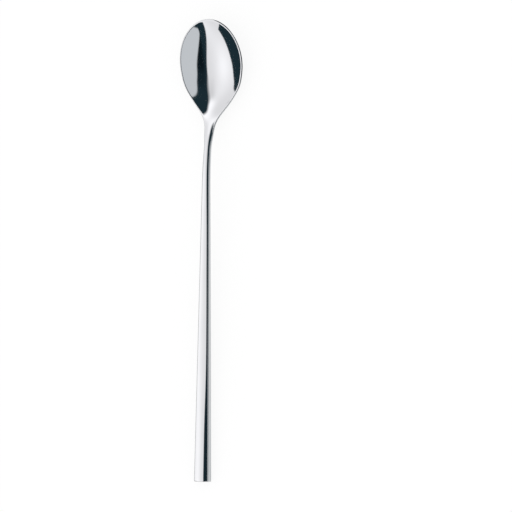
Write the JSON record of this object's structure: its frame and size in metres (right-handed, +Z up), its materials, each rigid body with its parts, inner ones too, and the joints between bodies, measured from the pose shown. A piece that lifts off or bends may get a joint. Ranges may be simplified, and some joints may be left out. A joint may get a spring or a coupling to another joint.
{
  "type": "iced tea spoon",
  "caption": "Long stainless steel spoon with a small oval bowl and a heavy bar handle that widens towards its flat end",
  "frame": {"origin": "on the table under the middle of the spoon, which lies bowl up", "axes": "+Z up, +Y along the spoon towards the tip of the bowl, +X across it to the right"},
  "size_m": [0.0316, 0.22, 0.0129],
  "materials": {
    "polished_steel": "polished"
  },
  "bodies": {
    "root": {"bowl": "polished_steel", "handle": "polished_steel"}
  },
  "joints": []
}
